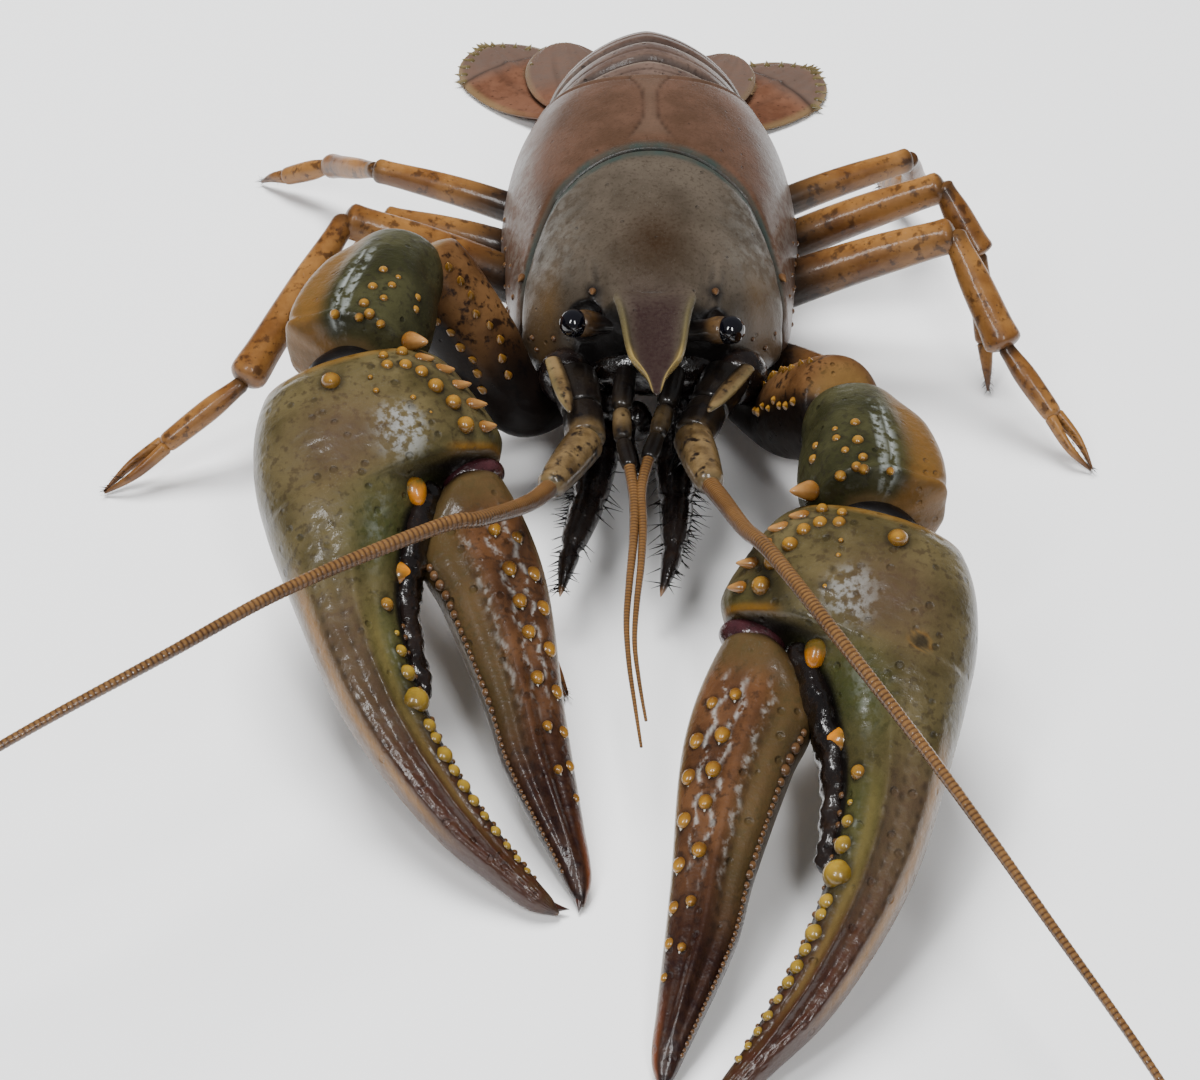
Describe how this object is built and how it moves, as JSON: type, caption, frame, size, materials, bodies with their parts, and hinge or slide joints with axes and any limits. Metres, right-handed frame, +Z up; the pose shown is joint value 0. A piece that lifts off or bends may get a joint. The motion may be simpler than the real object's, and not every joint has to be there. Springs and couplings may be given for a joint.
{
  "type": "crayfish",
  "caption": "Large stream crayfish standing still with both beaded claws reaching forward, long feelers spread and the tail fan flat on the floor.",
  "frame": {"origin": "middle of the whole animal's bounding box, on the floor that it stands on", "axes": "+Z up from the floor, -Y where the head and claws point, +X the animal's left side"},
  "size_m": [0.1084, 0.1754, 0.0258],
  "materials": {
    "head_shell": "wet horny shell, olive brown",
    "thorax_shell": "wet horny shell, mauve brown",
    "tail_shell": "wet horny shell, dark mauve brown",
    "fan_shell": "thin shell, red brown with a pale edge",
    "claw_shell": "wet pitted shell, olive green brown with yellow beads",
    "finger_shell": "wet ridged shell, mauve brown with yellow beads",
    "arm_shell": "wet shell, dark green with yellow beads",
    "leg_shell": "thin shell, tan orange with dark specks",
    "eye_black": "polished black",
    "stalk_brown": "thin shell, dark brown",
    "peduncle_tan": "mottled beige and brown",
    "feeler_brown": "finely ringed brown",
    "mouth_dark": "nearly black, bristly"
  },
  "bodies": {
    "root": {"head_shield": "head_shell", "thorax_shield": "thorax_shell", "abdomen_1": "tail_shell", "abdomen_2": "tail_shell", "abdomen_3": "tail_shell", "abdomen_4": "tail_shell", "abdomen_5": "tail_shell", "abdomen_6": "tail_shell", "telson": "fan_shell", "uropod_inner_r": "fan_shell", "uropod_outer_r": "fan_shell", "arm_merus_r": "arm_shell", "arm_carpus_r": "arm_shell", "claw_palm_r": "claw_shell", "claw_finger_r": "finger_shell", "eye_r": "eye_black", "eyestalk_r": "stalk_brown", "antenna_base_r": "peduncle_tan", "antenna_r": "feeler_brown", "antenna_scale_r": "peduncle_tan", "antennule_r": "feeler_brown", "maxilliped_r": "mouth_dark", "leg_1_r_thigh": "leg_shell", "leg_1_r_shin": "leg_shell", "leg_1_r_toe": "leg_shell", "leg_2_r_thigh": "leg_shell", "leg_2_r_shin": "leg_shell", "leg_2_r_toe": "leg_shell", "leg_3_r_thigh": "leg_shell", "leg_3_r_shin": "leg_shell", "leg_3_r_toe": "leg_shell", "leg_4_r_thigh": "leg_shell", "leg_4_r_shin": "leg_shell", "leg_4_r_toe": "leg_shell", "uropod_inner_l": "fan_shell", "uropod_outer_l": "fan_shell", "arm_merus_l": "arm_shell", "arm_carpus_l": "arm_shell", "claw_palm_l": "claw_shell", "claw_finger_l": "finger_shell", "eye_l": "eye_black", "eyestalk_l": "stalk_brown", "antenna_base_l": "peduncle_tan", "antenna_l": "feeler_brown", "antenna_scale_l": "peduncle_tan", "antennule_l": "feeler_brown", "maxilliped_l": "mouth_dark", "leg_1_l_thigh": "leg_shell", "leg_1_l_shin": "leg_shell", "leg_1_l_toe": "leg_shell", "leg_2_l_thigh": "leg_shell", "leg_2_l_shin": "leg_shell", "leg_2_l_toe": "leg_shell", "leg_3_l_thigh": "leg_shell", "leg_3_l_shin": "leg_shell", "leg_3_l_toe": "leg_shell", "leg_4_l_thigh": "leg_shell", "leg_4_l_shin": "leg_shell", "leg_4_l_toe": "leg_shell"}
  },
  "joints": []
}
